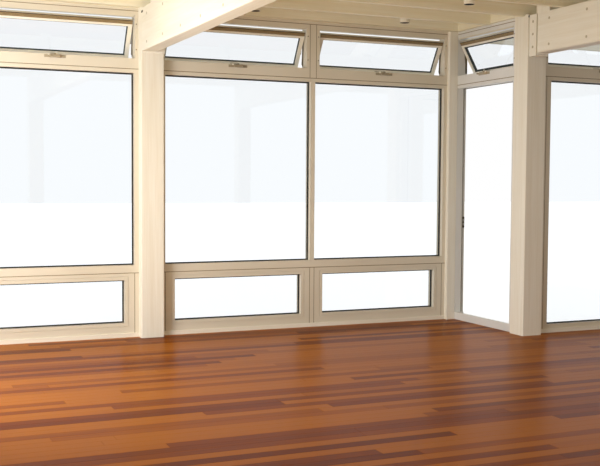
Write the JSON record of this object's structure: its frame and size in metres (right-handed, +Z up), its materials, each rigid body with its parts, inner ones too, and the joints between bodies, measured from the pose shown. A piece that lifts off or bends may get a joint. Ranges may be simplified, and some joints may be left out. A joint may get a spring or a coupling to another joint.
{
  "type": "glazed corner of a beach house",
  "caption": "Post-and-beam corner of a beach house with floor, flat roof and eave, framed windows, open awning sashes over them and a doorway in the short return wall.",
  "frame": {"origin": "middle of the box's underside, on the ground", "axes": "+X along the front window wall, +Y out through it towards the sea, +Z up"},
  "size_m": [9.175, 6.385, 3.184],
  "materials": {
    "painted_timber": "white-limed, satin",
    "limed_timber": "limed, satin",
    "sawn_timber": "sawn, matt",
    "floor_timber": "hardwood strip, gloss varnish",
    "frame_metal": "powder coat, satin",
    "fitting_metal": "anodised, satin",
    "window_glass": "clear float glass",
    "roof_metal": "painted sheet, satin",
    "lamp_enamel": "enamel, gloss",
    "seal_rubber": "extruded, matt",
    "lamp_black": "matt"
  },
  "bodies": {
    "root": {"ground_beams": "sawn_timber", "floor_joists": "sawn_timber", "floor_boards": "floor_timber", "post_left": "painted_timber", "post_middle": "painted_timber", "post_side": "painted_timber", "post_right": "painted_timber", "corner_post": "painted_timber", "inner_post_0": "painted_timber", "inner_post_1": "painted_timber", "inner_post_2": "painted_timber", "inner_post_3": "painted_timber", "beam_0": "painted_timber", "beam_1": "painted_timber", "beam_2": "painted_timber", "beam_3": "painted_timber", "beam_cleats": "painted_timber", "beam_blocks": "painted_timber", "front_lintel": "limed_timber", "return_lintel": "limed_timber", "side_lintel": "limed_timber", "inner_lintel": "limed_timber", "ceiling_joists": "limed_timber", "ceiling_lining": "limed_timber", "roof_deck": "roof_metal", "eave_soffit": "painted_timber", "eave_rafters": "sawn_timber", "fascia": "painted_timber", "front_frame_left": "frame_metal", "front_frame_right": "frame_metal", "side_frame": "frame_metal", "door_frame": "frame_metal", "door_sill": "frame_metal", "door_keeper": "fitting_metal", "skirting": "painted_timber", "front_glass": "window_glass", "side_glass": "window_glass", "awning_sashes": "frame_metal", "awning_glass": "window_glass", "window_stays": "fitting_metal", "winders": "fitting_metal", "downlights": "lamp_enamel"}
  },
  "joints": []
}
